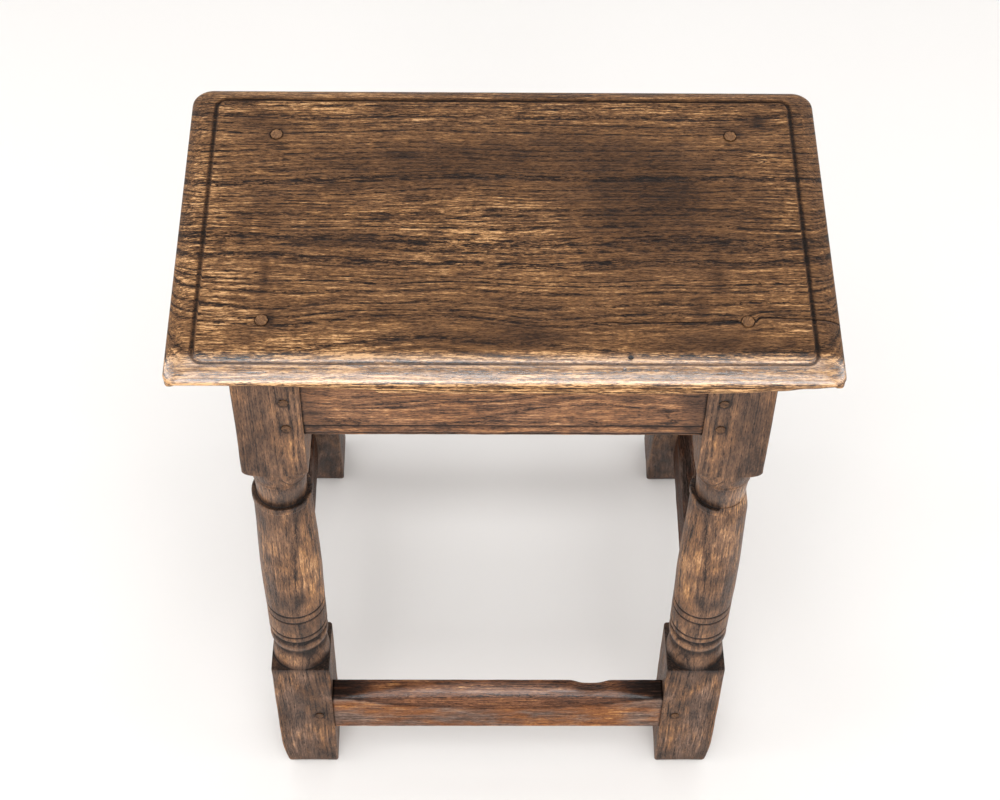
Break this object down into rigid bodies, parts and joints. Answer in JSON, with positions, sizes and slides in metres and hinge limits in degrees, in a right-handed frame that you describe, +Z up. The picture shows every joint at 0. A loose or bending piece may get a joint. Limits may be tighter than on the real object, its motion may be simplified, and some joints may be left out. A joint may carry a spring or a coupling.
{
  "type": "joint stool",
  "caption": "Oblong oak stool: a thumb-moulded board pegged on raked turned legs, joined by beaded rails under the board and plain stretchers near the floor",
  "frame": {"origin": "on the floor, below the middle of the board", "axes": "+X along the board to the right, +Y from the front to the back, +Z up; the legs rake out along Y"},
  "size_m": [0.46, 0.3436, 0.552],
  "materials": {
    "board_oak": "old oak plank, waxed, rubbed pale in the middle and dark in the open grain",
    "leg_oak": "old turned oak, waxed, grey-brown with dark hollows",
    "apron_oak": "old oak rail, waxed, dark red-brown",
    "stretcher_oak": "old oak stretcher, dark, polished by feet on the upper edge",
    "peg_oak": "riven oak pegs, end grain showing"
  },
  "bodies": {
    "root": {"seat_board": "board_oak", "leg_front_left": "leg_oak", "leg_front_right": "leg_oak", "leg_back_left": "leg_oak", "leg_back_right": "leg_oak", "apron_front": "apron_oak", "apron_back": "apron_oak", "apron_left": "apron_oak", "apron_right": "apron_oak", "stretcher_front": "stretcher_oak", "stretcher_back": "stretcher_oak", "stretcher_left": "stretcher_oak", "stretcher_right": "stretcher_oak", "seat_pegs": "peg_oak", "apron_front_pegs": "peg_oak", "apron_back_pegs": "peg_oak", "apron_left_pegs": "peg_oak", "apron_right_pegs": "peg_oak", "stretcher_front_pegs": "peg_oak", "stretcher_back_pegs": "peg_oak", "stretcher_left_pegs": "peg_oak", "stretcher_right_pegs": "peg_oak"}
  },
  "joints": []
}
